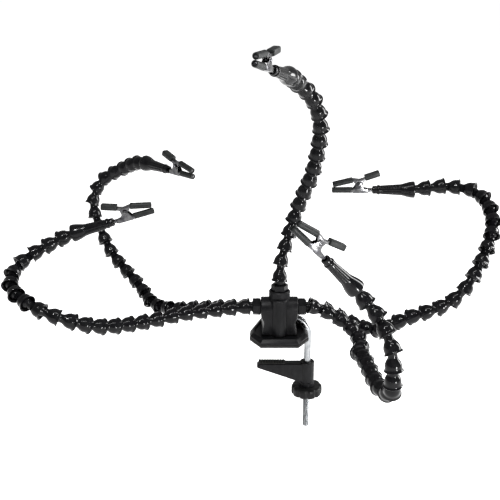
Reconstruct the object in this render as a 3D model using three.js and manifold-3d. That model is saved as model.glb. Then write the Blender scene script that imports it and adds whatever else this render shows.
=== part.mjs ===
// Helping hands clamp for an electronics bench: a hub on an octagonal foot, a screw clamp that
// grips the table edge, and five flexible arms of ball-and-socket links, each with a nozzle
// and a spring clip. Millimetres, +Z up. The origin is the centre of the foot's underside,
// which lies on the table top. +X points to the clamp rod, -Y to the front.
import * as THREE from "three";
import { mergeVertices } from "three/addons/utils/BufferGeometryUtils.js";
import Module from "manifold-3d";

const wasm = await Module();
wasm.setup();

// ---- driving dimensions -------------------------------------------------------------------
const GAP = 0.3; // left between pieces that touch

const LINK_PITCH = 16.2; // ball centre to ball centre
const LINK_SIDES = 6;
const SKIRT_RADIUS = 8.6; // wide end of a link, which faces the hub
const SKIRT_BACK = 4; // from the ball centre back to the skirt's rim
const NECK_RADIUS = 4.3;
const SHOULDER = 8.5; // from the ball centre out to where the bell meets the neck
const BALL_RADIUS = 5.4;
const BALL_ROOT = 3.6; // from the ball centre back to the neck

const HEX_LENGTH = 8.5; // connector's hexagon, between the port and the first ball
const HEX_RADIUS = 8.4;
const HEX_TO_BALL = 8;
const STUB_RADIUS = 6.1; // connector's screwed end, inside the port
const STUB_LENGTH = 9.5;
const PORT_RADIUS = 6.5;

const HUB_HALF_WIDTH = 19.5;
const HUB_FLOOR = 9;
const HUB_WAIST = 21.5;
const HUB_TOP = 47.7;
const HUB_FRONT = -11;
const HUB_REAR = 29;
const HUB_COLUMN = { y: -6, radius: 9.2 };
const COLLAR_RADIUS = 11.3;
const COLLAR_TOP = 54;
const FRONT_PORT = { y: 0, z: 36.2, radius: 10.7 };
const REAR_PORT = { y: 18, z: 30, radius: 9.8 };
const HUB_SIDE = [ // right half of the hub's outline, from the foot up, as [x, z]
  [20.5, HUB_FLOOR], [17.8, 14], [15.8, HUB_WAIST], [19, 28], [19, FRONT_PORT.z],
];

const FOOT_SIDE = [ // right half of the foot's outline, from the front back, as [x, y]
  [20.2, -25], [31.5, -6.5], [31.5, 7], [20, 40],
];
const FOOT_TAPER = 0.87; // size of the foot plate's top over its underside
const PLATE_INSET = 0.4; // how far the plate stands back from the edge of its pad
const PAD_THICKNESS = 3.2;

const ROD_RADIUS = 3.9;
const ROD_BORE = 4.3;
const FOOT_NOTCH = 4.5; // radius of the groove that clears the rod in the foot
const ROD_SIDES = 12;
const ROD_X = 32.4;
const ROD_Y = 22;
const ROD_HEIGHT = 14.5; // height of the rod's level end inside the hub
const ROD_BEND = 18.4;
const ROD_START_X = -8;
const ROD_END = -120;
const QUARTER_HANDLE = 0.5523; // Bezier handle of a quarter circle, over its radius
const SET_SCREW = { shank: 1.9, hole: 2.4, head: 3.4, headHeight: 2.2 };

const JAW_TOP = -40.3;
const JAW_TIP_X = -23.7;
const JAW_TIP_THICKNESS = 3.8;
const JAW_CHAMFER = 1.5;
const JAW_HALF_DEPTH = 5.5;
const JAW_HEEL = { x: 22.8, z: -62 }; // where the sloped underside meets the sleeve
const JAW_PAD = { start: -21.7, end: 8, halfDepth: 4.8, thickness: 1.6 };
const SLEEVE_RADIUS = 7.2;
const SLEEVE_BOTTOM = -62.8;
const WASHER_RADIUS = 9;
const WASHER_THICKNESS = 4.7;
const KNOB_RADIUS = 17.1;
const KNOB_HEIGHT = 10.5;
const KNOB_LOBES = 10;
const LOBE_STEPS = 6; // outline points to each lobe
const LOBE_DEPTH = 0.7; // half the depth of the hollows between the lobes
const NUT_RADIUS = 7.4;
const NUT_HEIGHT = 6.4;
const NUT_POCKET = 7.8;
const NUT_DEPTH = 0.5; // the nut's face lies this far inside the knob's underside

const NOZZLE_LENGTH = 40; // ball centre to the tip
const NOZZLE_BORE = 2.4;
const NOZZLE_PROFILE = [ // from the socket's rim to the tip, as [radius, height]
  [8.9, -SKIRT_BACK], [8.3, 1], [5.9, 8], [4.6, 32], [5, 32.5], [5, 35], [4, 36],
  [4, NOZZLE_LENGTH],
];
const STEM_RADIUS = 2;
const STEM_DEPTH = 10;

const CLIP_PIVOT = { along: 14.5, up: 6.5 };
const PIN_RADIUS = 1;
const PIN_HOLE = 1.3;
const PIN_HEAD = { radius: 1.8, height: 0.8 };
const CHEEK_HALF_WIDTH = 3.4;
const CHANNEL_HALF_WIDTH = 2.5;
const LEVER_HALF_WIDTH = 2.2;
const GRIP_HALF_WIDTH = 3.2;
const CORE_HALF = 1.1; // jaw blade inside its rubber sleeve
const CORE_SHORT = 1.2; // how far the blade ends inside its sleeve
const CLIP_SLEEVE_RADIUS = 2.75;
const CLIP_SLEEVE_BORE = 2.1;
const CLIP_SLEEVE_START = 21.3;
const CLIP_SLEEVE_LENGTH = 21.2;
const UPPER_JAW_START = 10.9; // height of the moving blade where its sleeve starts
const UPPER_JAW_FALL = 5; // how far the moving blade comes down over its sleeve
const UPPER_JAW_SLOPE = Math.atan2(UPPER_JAW_FALL, CLIP_SLEEVE_LENGTH);
// Side views of the clip's bent sheet pieces, as [along, up] from the nozzle's tip.
const CLIP_CHEEK = [
  [5, -2.6], [21, -2.6], [21, 1.8], [18.6, 5], [17, 9], [12, 9], [9, 4], [5, 1.8],
];
const LEVER_CHEEK = [
  [12, 5], [14.5, 3.8], [17, 5], [20.8, 9.2], [20.8, 12.2], [14, 11.4], [3.4, 14.6],
];
const LEVER_NECK = [[12, 5], [13.6, 11], [5, 14.4], [3.8, 12.2]];
const LEVER_GRIP = [[3.6, 11.4], [-13, 17.4], [-11, 22.6], [5.6, 16.4]];

// Each arm's route, as points that its ball centres pass through, and how many links it has.
const SIDE_BALL = HUB_HALF_WIDTH + GAP + HEX_LENGTH + HEX_TO_BALL;
const TOP_BALL = COLLAR_TOP + GAP + HEX_LENGTH + HEX_TO_BALL;
const ARMS = {
  top: {
    links: 17,
    port: [0, 0, 1],
    route: [
      [0, 0, TOP_BALL], [1, 3, 85], [10, 14, 115], [20, 14, 147], [33, -3, 190],
      [37, -20, 235], [28, -32, 264], [12, -52, 283], [2, -80, 294], [-13, -118, 305],
    ],
  },
  left_front: {
    links: 23,
    port: [-1, 0, 0],
    route: [
      [-SIDE_BALL, FRONT_PORT.y, FRONT_PORT.z], [-52, -3, 36], [-98, -21, 38],
      [-141, -43, 38], [-180, -72, 47], [-216, -92, 66], [-246, -88, 80], [-265, -64, 89],
      [-261, -36, 100], [-236, -20, 113], [-205, -22, 128], [-166, -24, 140],
    ],
  },
  left_rear: {
    links: 24,
    port: [-1, 0, 0],
    route: [
      [-SIDE_BALL, REAR_PORT.y, REAR_PORT.z], [-54, 20, 28], [-88, 38, 19], [-120, 50, 13],
      [-143, 70, 12], [-161, 95, 24], [-193, 120, 52], [-210, 138, 81], [-218, 150, 107],
      [-206, 156, 132], [-179, 143, 150], [-157, 118, 163], [-133, 93, 166], [-118, 75, 166],
    ],
  },
  right_front: {
    links: 20,
    port: [1, 0, 0],
    route: [
      [SIDE_BALL, FRONT_PORT.y, FRONT_PORT.z], [56, -1, 28], [75, -15, 19], [83, -37, 11],
      [78, -67, 13], [81, -82, 17], [88, -135, 16], [95, -162, 23], [94, -179, 45],
      [91, -179, 78], [79, -165, 101], [69, -161, 112], [54, -159, 130], [31, -168, 155],
    ],
  },
  right_rear: {
    links: 24,
    port: [1, 0, 0],
    route: [
      [SIDE_BALL, REAR_PORT.y, REAR_PORT.z], [53, 19, 25], [72, 14, 16], [90, 2, 12],
      [108, -15, 18], [128, -34, 38], [166, -53, 63], [187, -55, 89], [209, -30, 124],
      [214, -4, 144], [203, 24, 157], [174, 39, 158], [142, 38, 155], [102, 37, 155],
    ],
  },
};
const LINK_GROUPS = 3; // runs of links that bend as one piece
const ROUTE_STEPS = 60; // straight steps from one route point to the next

// ---- materials ----------------------------------------------------------------------------
const finish = (color, roughness, metalness) =>
  new THREE.MeshStandardMaterial({ color, roughness, metalness });
const glossBlack = finish(0x101010, 0.25, 0);
const satinBlack = finish(0x161616, 0.45, 0);
const rubber = finish(0x0c0c0c, 0.8, 0);
const steel = finish(0xc4c6c8, 0.25, 1);

// ---- solids -------------------------------------------------------------------------------
function solid(geometry, matrix = new THREE.Matrix4()) {
  const bare = geometry.clone();
  bare.deleteAttribute("normal");
  bare.deleteAttribute("uv");
  const merged = mergeVertices(bare, 1e-4);
  merged.applyMatrix4(matrix);
  return new wasm.Manifold(new wasm.Mesh({
    numProp: 3,
    vertProperties: new Float32Array(merged.attributes.position.array),
    triVerts: new Uint32Array(merged.index.array),
  }));
}

function geometryOf(body) {
  const mesh = body.getMesh();
  const geometry = new THREE.BufferGeometry();
  geometry.setAttribute("position", new THREE.BufferAttribute(mesh.vertProperties, 3));
  geometry.setIndex(new THREE.BufferAttribute(mesh.triVerts, 1));
  return geometry;
}

const join = (bodies) => bodies.reduce((all, body) => all.add(body));
const shift = (x, y, z) => new THREE.Matrix4().makeTranslation(x, y, z);

// A frame at a point, with its Z along a direction.
function frameAlong(point, direction) {
  const turn = new THREE.Quaternion().setFromUnitVectors(new THREE.Vector3(0, 0, 1), direction);
  return new THREE.Matrix4().compose(point, turn, new THREE.Vector3(1, 1, 1));
}

// A turned solid about Z from [radius, height] pairs, lowest first, closed onto the axis.
function turned(profile, sides) {
  const points = profile.map(([radius, height]) => new THREE.Vector2(radius, height));
  const closed = [new THREE.Vector2(0, points[0].y), ...points];
  closed.push(new THREE.Vector2(0, points[points.length - 1].y));
  return new THREE.LatheGeometry(closed, sides).rotateX(Math.PI / 2);
}

// A ring about Z with a square section.
function ring(inner, outer, low, high, sides) {
  const outline = [[inner, low], [outer, low], [outer, high], [inner, high], [inner, low]];
  const points = outline.map(([radius, height]) => new THREE.Vector2(radius, height));
  return new THREE.LatheGeometry(points, sides).rotateX(Math.PI / 2);
}

const rod = (radius, low, high, sides) => turned([[radius, low], [radius, high]], sides);

function block(x0, x1, y0, y1, z0, z1) {
  const box = new THREE.BoxGeometry(x1 - x0, y1 - y0, z1 - z0);
  return box.translate((x0 + x1) / 2, (y0 + y1) / 2, (z0 + z1) / 2);
}

function outlineOf(points) {
  return new THREE.Shape(points.map(([x, y]) => new THREE.Vector2(x, y)));
}

// A plate from an XY outline, from low to high, its top drawn in about the origin by a taper.
function plate(points, low, high, taper = 1) {
  const flat = new THREE.ExtrudeGeometry(outlineOf(points), {
    depth: high - low, bevelEnabled: false,
  });
  flat.translate(0, 0, low);
  const place = flat.attributes.position;
  for (let i = 0; i < place.count; i += 1) {
    if (place.getZ(i) > (low + high) / 2) {
      place.setX(i, place.getX(i) * taper);
      place.setY(i, place.getY(i) * taper);
    }
  }
  return flat;
}

// A slab from an XZ outline, running from one Y to another.
function slab(points, y0, y1) {
  const flat = new THREE.ExtrudeGeometry(outlineOf(points), {
    depth: y1 - y0, bevelEnabled: false,
  });
  return flat.rotateX(Math.PI / 2).translate(0, y1, 0);
}

// A closed outline from its right half, mirrored to the left.
const mirrored = (half) => [...half, ...half.slice().reverse().map(([x, other]) => [-x, other])];

const alongX = new THREE.Matrix4().makeRotationY(Math.PI / 2);
const alongY = new THREE.Matrix4().makeRotationX(-Math.PI / 2);
const barrel = (radius, x0, x1, y, z, sides) =>
  solid(rod(radius, x0, x1, sides), shift(0, y, z).multiply(alongX));

// ---- parts list ---------------------------------------------------------------------------
const object = new THREE.Group();

function add(name, body, material) {
  const mesh = new THREE.Mesh(geometryOf(body), material);
  mesh.name = name;
  object.add(mesh);
}

// ---- clamp rod: level end held in the hub, one bend, then straight down ---------------------
function rodRoute(extra) {
  const route = new THREE.CurvePath();
  const bendX = ROD_X - ROD_BEND;
  const bendZ = ROD_HEIGHT - ROD_BEND;
  const quarter = ROD_BEND * QUARTER_HANDLE;
  route.add(new THREE.LineCurve3(
    new THREE.Vector3(ROD_START_X - extra, ROD_Y, ROD_HEIGHT),
    new THREE.Vector3(bendX, ROD_Y, ROD_HEIGHT),
  ));
  route.add(new THREE.CubicBezierCurve3(
    new THREE.Vector3(bendX, ROD_Y, ROD_HEIGHT),
    new THREE.Vector3(bendX + quarter, ROD_Y, ROD_HEIGHT),
    new THREE.Vector3(ROD_X, ROD_Y, bendZ + quarter),
    new THREE.Vector3(ROD_X, ROD_Y, bendZ),
  ));
  return route;
}

function roundShape(radius, sides) {
  const points = [];
  for (let i = 0; i < sides; i += 1) {
    const angle = (2 * Math.PI * i) / sides;
    points.push([radius * Math.cos(angle), radius * Math.sin(angle)]);
  }
  return outlineOf(points);
}

function bentRod(radius, extra) {
  const bendZ = ROD_HEIGHT - ROD_BEND;
  const bend = new THREE.ExtrudeGeometry(roundShape(radius, ROD_SIDES), {
    steps: 10, extrudePath: rodRoute(extra),
  });
  const straight = rod(radius, ROD_END, bendZ + 0.5, ROD_SIDES).translate(ROD_X, ROD_Y, 0);
  return solid(bend).add(solid(straight));
}

// ---- hub and foot -------------------------------------------------------------------------
const screwPlace = shift(0, ROD_Y, ROD_HEIGHT).multiply(alongY);

function makeHub() {
  const body = solid(slab(mirrored(HUB_SIDE), HUB_FRONT, HUB_REAR));
  const column = rod(HUB_COLUMN.radius, HUB_FLOOR, HUB_TOP, 20).translate(0, HUB_COLUMN.y, 0);
  const collar = rod(COLLAR_RADIUS, HUB_WAIST, COLLAR_TOP, 20);
  let hub = join([body, solid(column), solid(collar)]);
  for (const port of [FRONT_PORT, REAR_PORT]) {
    hub = hub.add(barrel(port.radius, -HUB_HALF_WIDTH, HUB_HALF_WIDTH, port.y, port.z, 20));
  }
  const portDepth = STUB_LENGTH + 1;
  hub = hub.subtract(solid(rod(PORT_RADIUS, COLLAR_TOP - portDepth, COLLAR_TOP + 1, 12)));
  for (const port of [FRONT_PORT, REAR_PORT]) {
    const inner = HUB_HALF_WIDTH - portDepth;
    const outer = HUB_HALF_WIDTH + 1;
    hub = hub.subtract(barrel(PORT_RADIUS, inner, outer, port.y, port.z, 12));
    hub = hub.subtract(barrel(PORT_RADIUS, -outer, -inner, port.y, port.z, 12));
  }
  const screwHole = solid(rod(SET_SCREW.hole, 0, HUB_REAR - ROD_Y + 1, 12), screwPlace);
  return hub.subtract(bentRod(ROD_BORE, GAP)).subtract(screwHole);
}

function makeFootPlate() {
  const outline = FOOT_SIDE.map(([x, y]) => [x - PLATE_INSET, y - Math.sign(y) * PLATE_INSET]);
  const low = PAD_THICKNESS + GAP;
  const body = solid(plate(mirrored(outline), low, HUB_FLOOR - GAP, FOOT_TAPER));
  return body.subtract(bentRod(FOOT_NOTCH, GAP));
}

function makeFootPad() {
  const body = solid(plate(mirrored(FOOT_SIDE), 0, PAD_THICKNESS));
  return body.subtract(bentRod(FOOT_NOTCH, GAP));
}

function makeSetScrew() {
  const headLow = HUB_REAR - ROD_Y + GAP;
  const profile = [
    [SET_SCREW.shank, ROD_RADIUS + GAP], [SET_SCREW.shank, headLow],
    [SET_SCREW.head, headLow], [SET_SCREW.head, headLow + SET_SCREW.headHeight],
  ];
  return solid(turned(profile, 12), screwPlace);
}

add("hub_body", makeHub(), satinBlack);
add("foot_plate", makeFootPlate(), satinBlack);
add("foot_pad", makeFootPad(), rubber);
add("clamp_rod", bentRod(ROD_RADIUS, 0), steel);
add("rod_set_screw", makeSetScrew(), steel);

// ---- clamp jaw, washer, knob and nut ------------------------------------------------------
const atRod = shift(ROD_X, ROD_Y, 0);
const padLow = JAW_TOP + GAP;
const padTop = padLow + JAW_PAD.thickness;

function makeJaw() {
  const wedge = [
    [JAW_TIP_X + JAW_CHAMFER, JAW_TOP], [JAW_TIP_X, JAW_TOP - JAW_CHAMFER],
    [JAW_TIP_X, JAW_TOP - JAW_TIP_THICKNESS], [JAW_HEEL.x, JAW_HEEL.z],
    [ROD_X, JAW_HEEL.z], [ROD_X, JAW_TOP],
  ];
  const arm = solid(slab(wedge, ROD_Y - JAW_HALF_DEPTH, ROD_Y + JAW_HALF_DEPTH));
  const sleeve = solid(rod(SLEEVE_RADIUS, SLEEVE_BOTTOM, padTop, 20), atRod);
  const bore = solid(rod(ROD_BORE, SLEEVE_BOTTOM - 1, padTop + 1, 16), atRod);
  return arm.add(sleeve).subtract(bore);
}

function makeJawPad() {
  const { start, end, halfDepth } = JAW_PAD;
  return solid(block(start, end, ROD_Y - halfDepth, ROD_Y + halfDepth, padLow, padTop));
}

function makeKnob() {
  const outline = [];
  const steps = KNOB_LOBES * LOBE_STEPS;
  for (let i = 0; i < steps; i += 1) {
    const angle = (2 * Math.PI * i) / steps;
    const radius = KNOB_RADIUS - LOBE_DEPTH * (1 - Math.cos(KNOB_LOBES * angle));
    outline.push([radius * Math.cos(angle), radius * Math.sin(angle)]);
  }
  const high = SLEEVE_BOTTOM - WASHER_THICKNESS - 2 * GAP;
  const low = high - KNOB_HEIGHT;
  const nutLow = low + NUT_DEPTH;
  const nutHigh = nutLow + NUT_HEIGHT;
  const grip = solid(plate(outline, low, high), atRod);
  const bore = solid(rod(ROD_BORE, low - 1, high + 1, 16), atRod);
  const pocket = solid(rod(NUT_POCKET, low - 1, nutHigh + GAP, 6), atRod);
  const hexagon = solid(rod(NUT_RADIUS, nutLow, nutHigh, 6), atRod);
  return { grip: grip.subtract(bore).subtract(pocket), nut: hexagon.subtract(bore) };
}

const knob = makeKnob();
const washerTop = SLEEVE_BOTTOM - GAP;
const washer = ring(ROD_BORE, WASHER_RADIUS, washerTop - WASHER_THICKNESS, washerTop, 20);
add("clamp_jaw", makeJaw(), satinBlack);
add("jaw_pad", makeJawPad(), rubber);
add("thrust_washer", solid(washer, atRod), satinBlack);
add("knob", knob.grip, glossBlack);
add("knob_nut", knob.nut, steel);

// ---- arms: route, links, nozzle -----------------------------------------------------------
// Catmull-Rom curve through the route's points, as a list of close points.
function smoothRoute(route) {
  const p = route.map((point) => new THREE.Vector3(...point));
  const first = p[0].clone().multiplyScalar(2).sub(p[1]);
  const last = p[p.length - 1].clone().multiplyScalar(2).sub(p[p.length - 2]);
  const all = [first, ...p, last];
  const points = [];
  for (let i = 1; i < all.length - 2; i += 1) {
    for (let k = 0; k < ROUTE_STEPS; k += 1) {
      const t = k / ROUTE_STEPS;
      const weights = [
        (-t + 2 * t * t - t ** 3) / 2, (2 - 5 * t * t + 3 * t ** 3) / 2,
        (t + 4 * t * t - 3 * t ** 3) / 2, (t ** 3 - t * t) / 2,
      ];
      const point = new THREE.Vector3();
      weights.forEach((weight, j) => point.addScaledVector(all[i - 1 + j], weight));
      points.push(point);
    }
  }
  points.push(p[p.length - 1]);
  return points;
}

// Ball centres at one pitch along the route, then the nozzle's tip. Past the route's end
// the arm runs straight on.
function ballCentres(route, links) {
  const path = smoothRoute(route);
  const end = path[path.length - 1];
  const onward = end.clone().sub(path[path.length - 2]).setLength(4 * LINK_PITCH);
  path.push(end.clone().add(onward));
  const centres = [path[0]];
  let index = 0;
  for (let i = 0; i <= links; i += 1) {
    const from = centres[centres.length - 1];
    const reach = i < links ? LINK_PITCH : NOZZLE_LENGTH;
    while (path[index + 1].distanceTo(from) < reach) index += 1;
    let near = 0;
    let far = 1;
    for (let halving = 0; halving < 30; halving += 1) {
      const middle = (near + far) / 2;
      const point = path[index].clone().lerp(path[index + 1], middle);
      if (point.distanceTo(from) < reach) near = middle;
      else far = middle;
    }
    centres.push(path[index].clone().lerp(path[index + 1], near));
  }
  return centres;
}

const bell = [[SKIRT_RADIUS, -SKIRT_BACK], [SKIRT_RADIUS - 1, 3], [NECK_RADIUS, SHOULDER]];
const ballProfile = [
  [NECK_RADIUS, -BALL_ROOT], [BALL_RADIUS, -0.8], [BALL_RADIUS, 0.8], [2.8, 4.6],
];
const socketProfile = [[7.5, -SKIRT_BACK - 1], [6.9, -1], [6.9, 1.5], [5, 4.8], [0.5, 6.6]];

const inNextLink = LINK_PITCH + 1;
const plainLink = turned([...bell, [NECK_RADIUS, inNextLink]], LINK_SIDES);
const ballLink = turned([
  ...bell, ...ballProfile.map(([radius, height]) => [radius, height + LINK_PITCH]),
], LINK_SIDES);
const socket = turned(socketProfile, LINK_SIDES);

// Links first to last - 1 of an arm as one chain, open at its first socket and ending in a ball.
function makeLinks(centres, first, last) {
  const links = [];
  for (let i = first; i < last; i += 1) {
    const along = centres[i + 1].clone().sub(centres[i]).normalize();
    links.push(solid(i === last - 1 ? ballLink : plainLink, frameAlong(centres[i], along)));
  }
  const along = centres[first + 1].clone().sub(centres[first]).normalize();
  return join(links).subtract(solid(socket, frameAlong(centres[first], along)));
}

function makeConnector(ball, along) {
  const hexLow = -HEX_TO_BALL - HEX_LENGTH;
  const stub = rod(STUB_RADIUS, hexLow - STUB_LENGTH, hexLow + 1, 12);
  const hexagon = rod(HEX_RADIUS, hexLow, -HEX_TO_BALL, 6);
  const neck = turned([[NECK_RADIUS, -HEX_TO_BALL - 1], ...ballProfile], LINK_SIDES);
  const place = frameAlong(ball, along);
  return join([solid(stub, place), solid(hexagon, place), solid(neck, place)]);
}

function makeNozzle(place) {
  const bore = rod(NOZZLE_BORE, NOZZLE_LENGTH - STEM_DEPTH - 1, NOZZLE_LENGTH + 1, 10);
  return solid(turned(NOZZLE_PROFILE, 10), place)
    .subtract(solid(socket, place))
    .subtract(solid(bore, place));
}

// ---- spring clip --------------------------------------------------------------------------
// Clip frame: Z along the nozzle, Y towards the lever, X across, origin at the nozzle's tip.
function clipFrame(tip, along) {
  const up = new THREE.Vector3(0, 0, 1);
  up.addScaledVector(along, -up.dot(along)).normalize();
  const across = new THREE.Vector3().crossVectors(up, along);
  return new THREE.Matrix4().makeBasis(across, up, along).setPosition(tip);
}

// A piece from a [along, up] outline, of the given half width across.
function cheek(points, halfWidth) {
  const flat = new THREE.ExtrudeGeometry(outlineOf(points), {
    depth: 2 * halfWidth, bevelEnabled: false,
  });
  return flat.translate(0, 0, -halfWidth).rotateY(-Math.PI / 2);
}

const atPivot = shift(0, CLIP_PIVOT.up, CLIP_PIVOT.along).multiply(alongX);
const placed = (place, matrix) => place.clone().multiply(matrix);

// The moving blade's frame: its Z runs down the slope of the upper jaw.
const upperJaw = shift(0, UPPER_JAW_START, CLIP_SLEEVE_START)
  .multiply(new THREE.Matrix4().makeRotationX(UPPER_JAW_SLOPE));

function makeClipBody(place) {
  const channel = block(-CHANNEL_HALF_WIDTH, CHANNEL_HALF_WIDTH, -1.6, 12, 7.5, 20);
  const stem = rod(STEM_RADIUS, -STEM_DEPTH, 6, 10);
  const blade = block(-CORE_HALF, CORE_HALF, -CORE_HALF, CORE_HALF, 20.5,
    CLIP_SLEEVE_START + CLIP_SLEEVE_LENGTH - CORE_SHORT);
  const hole = rod(PIN_HOLE, -6, 6, 8);
  return solid(cheek(CLIP_CHEEK, CHEEK_HALF_WIDTH), place)
    .subtract(solid(channel, place))
    .add(solid(stem, place))
    .add(solid(blade, place))
    .subtract(solid(hole, placed(place, atPivot)));
}

function makeClipPin(place) {
  const reach = CHEEK_HALF_WIDTH + GAP;
  const profile = [
    [PIN_HEAD.radius, -reach - PIN_HEAD.height], [PIN_HEAD.radius, -reach],
    [PIN_RADIUS, -reach], [PIN_RADIUS, reach],
    [PIN_HEAD.radius, reach], [PIN_HEAD.radius, reach + PIN_HEAD.height],
  ];
  return solid(turned(profile, 8), placed(place, atPivot));
}

function makeClipLever(place) {
  const blade = block(-CORE_HALF, CORE_HALF, -CORE_HALF, CORE_HALF, -2,
    CLIP_SLEEVE_LENGTH - CORE_SHORT);
  const hole = rod(PIN_HOLE, -6, 6, 8);
  return solid(cheek(LEVER_CHEEK, LEVER_HALF_WIDTH), place)
    .add(solid(cheek(LEVER_NECK, LEVER_HALF_WIDTH), place))
    .add(solid(cheek(LEVER_GRIP, GRIP_HALF_WIDTH), place))
    .add(solid(blade, placed(place, upperJaw)))
    .subtract(solid(hole, placed(place, atPivot)));
}

const clipSleeve = ring(CLIP_SLEEVE_BORE, CLIP_SLEEVE_RADIUS, 0, CLIP_SLEEVE_LENGTH, 8);
const lowerJaw = shift(0, 0, CLIP_SLEEVE_START);

for (const [name, arm] of Object.entries(ARMS)) {
  const centres = ballCentres(arm.route, arm.links);
  const groupEnd = (group) => Math.round((arm.links * group) / LINK_GROUPS);
  add(`${name}_connector`, makeConnector(centres[0], new THREE.Vector3(...arm.port)), glossBlack);
  for (let group = 0; group < LINK_GROUPS; group += 1) {
    const chain = makeLinks(centres, groupEnd(group), groupEnd(group + 1));
    add(`${name}_links_${group + 1}`, chain, glossBlack);
  }
  const tip = centres[arm.links + 1];
  const along = tip.clone().sub(centres[arm.links]).normalize();
  add(`${name}_nozzle`, makeNozzle(frameAlong(centres[arm.links], along)), glossBlack);
  const clip = clipFrame(tip, along);
  add(`${name}_clip_body`, makeClipBody(clip), steel);
  add(`${name}_clip_pin`, makeClipPin(clip), steel);
  add(`${name}_clip_lever`, makeClipLever(clip), steel);
  add(`${name}_fixed_jaw_sleeve`, solid(clipSleeve, placed(clip, lowerJaw)), rubber);
  add(`${name}_moving_jaw_sleeve`, solid(clipSleeve, placed(clip, upperJaw)), rubber);
}

export default object;
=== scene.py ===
"""Looks of the helping hands clamp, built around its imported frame.

Shapes are drawn in millimetres in the frame's axes and become metres when a piece is made.
"""
import math

import bpy
import numpy as np
from mathutils import Matrix, Vector


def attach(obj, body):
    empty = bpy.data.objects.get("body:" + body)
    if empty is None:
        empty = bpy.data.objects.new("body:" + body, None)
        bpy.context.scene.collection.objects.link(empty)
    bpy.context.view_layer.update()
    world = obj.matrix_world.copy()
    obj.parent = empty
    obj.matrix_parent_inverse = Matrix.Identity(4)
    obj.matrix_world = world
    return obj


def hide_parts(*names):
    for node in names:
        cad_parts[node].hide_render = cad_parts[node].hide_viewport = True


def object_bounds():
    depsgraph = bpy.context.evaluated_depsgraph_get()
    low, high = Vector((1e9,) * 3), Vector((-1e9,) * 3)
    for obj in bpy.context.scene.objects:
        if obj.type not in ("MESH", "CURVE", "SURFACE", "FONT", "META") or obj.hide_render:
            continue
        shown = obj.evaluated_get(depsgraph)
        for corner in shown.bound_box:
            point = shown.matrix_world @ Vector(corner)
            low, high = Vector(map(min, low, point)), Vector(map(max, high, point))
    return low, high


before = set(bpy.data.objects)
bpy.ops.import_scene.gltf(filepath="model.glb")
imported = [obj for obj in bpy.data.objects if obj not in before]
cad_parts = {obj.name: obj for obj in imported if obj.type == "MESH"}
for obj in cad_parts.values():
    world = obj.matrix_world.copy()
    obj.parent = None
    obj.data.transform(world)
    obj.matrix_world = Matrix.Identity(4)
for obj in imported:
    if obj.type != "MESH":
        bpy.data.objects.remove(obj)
cad_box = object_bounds()

# ---- driving dimensions, in millimetres ---------------------------------------------------
MM = 0.001  # metres in one millimetre

LINK_PITCH = 16.2  # ball centre to ball centre
LINK_GROUPS = 3
ROUTE_STEPS = 60  # straight steps from one route point to the next
LINK_SIDES = 36
BALL_RADIUS = 5.9
SOCKET_RADIUS = 6.15
BALL_LOW, BALL_HIGH = -42, 50  # the ball's band of latitude, in degrees
SOCKET_LOW, SOCKET_HIGH = -15, 55
LINK_BORE = 3.2

SIDE_BALL_X = 36.3
TOP_BALL_Z = 70.8
HEX_RADIUS = 9
HEX_LOW, HEX_HIGH = -16.5, -8  # along the connector, from its ball centre

HUB_HALF_WIDTH = 19.5
HUB_FRONT, HUB_REAR = -11, 29
HUB_FLOOR, HUB_TOP = 7.4, 48.6
HUB_SIDE = [(19, HUB_FLOOR), (18.8, 9.4), (17.6, 14), (16.2, 21.5), (19, 28), (19, 36.2)]
COLUMN_Y, COLUMN_RADIUS = -6, 9.2
COLLAR_RADIUS, COLLAR_ROOT, COLLAR_TOP, COLLAR_EDGE = 11.3, 25, 56.2, 1.2
SEAT_RADIUS, SEAT_DEPTH = 9.3, 2.2  # recess in the collar under the top connector
PORT_RADIUS, PORT_DEPTH = 6.5, 10.5
FRONT_PORT = (0, 36.2, 11.5)  # y, z and barrel radius
REAR_PORT = (18, 30, 9.8)
MARK_RADIUS, MARK_HALF_DEPTH, MARK_Y, MARK_Z = 2.3, 3, -4.5, 22.5  # round dent in each side
FOOT_SIDE = [(20.2, -25), (31.5, -6.5), (31.5, 7), (20, 40)]  # right half, front to back
PAD_THICKNESS = 3.2
FOOT_STEPS = [  # size over the foot's outline and height, from the pad up and into the recess
    (0.98, 3.5), (0.99, 3.8), (0.985, 5.2), (0.97, 5.7), (0.895, 8.2), (0.87, 8.7),
    (0.83, 8.7), (0.815, 8.4), (0.805, 7),
]
MAT_STEPS = [(0.985, 0), (1, 0.4), (1, 2.8), (0.985, PAD_THICKNESS)]
FOOT_CLEARANCE = 0.3  # added to the rod's bore in the foot

ROD_RADIUS, ROD_BORE = 3.9, 4.3
ROD_X, ROD_Y = 32.4, 22
ROD_HEIGHT, ROD_BEND = 14.5, 18.4
ROD_START_X, ROD_END = -8, -120
THREAD_TOP, THREAD_PITCH, THREAD_DEPTH = -44, 1.25, 0.4
THREAD_RUN_OUT = 2
POINT_LENGTH, POINT_INSET = 1.6, 1.1  # the pointed end of the rod

JAW_TOP, JAW_BOTTOM = -40.3, -62.8
JAW_TIP_X, JAW_HALF_DEPTH, JAW_TIP_THICKNESS = -23.7, 5.5, 3.8
JAW_HEEL_X, JAW_HEEL_Z = 24.4, -62.4
JAW_SLEEVE_RADIUS = 8
JAW_PAD_X, JAW_PAD_LENGTH, JAW_PAD_HALF_DEPTH = -21.7, 29.7, 4.8
RIBS, RIB_STEP, RIB_WIDTH = 10, 2.9, 1.7  # across the jaw's pad
COLLAR_SIZE, COLLAR_HEIGHT = 9, 4.7  # thrust collar's radius and height
KNOB_RADIUS, KNOB_LOBES, KNOB_TOP, KNOB_HEIGHT = 17.1, 10, -68.1, 10.5
GROOVE_DEPTH, GROOVE_SHARPNESS, STEPS_PER_LOBE = 1.4, 1.5, 16
NUT_RADIUS, NUT_HEIGHT = 7.4, 6.4

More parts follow.
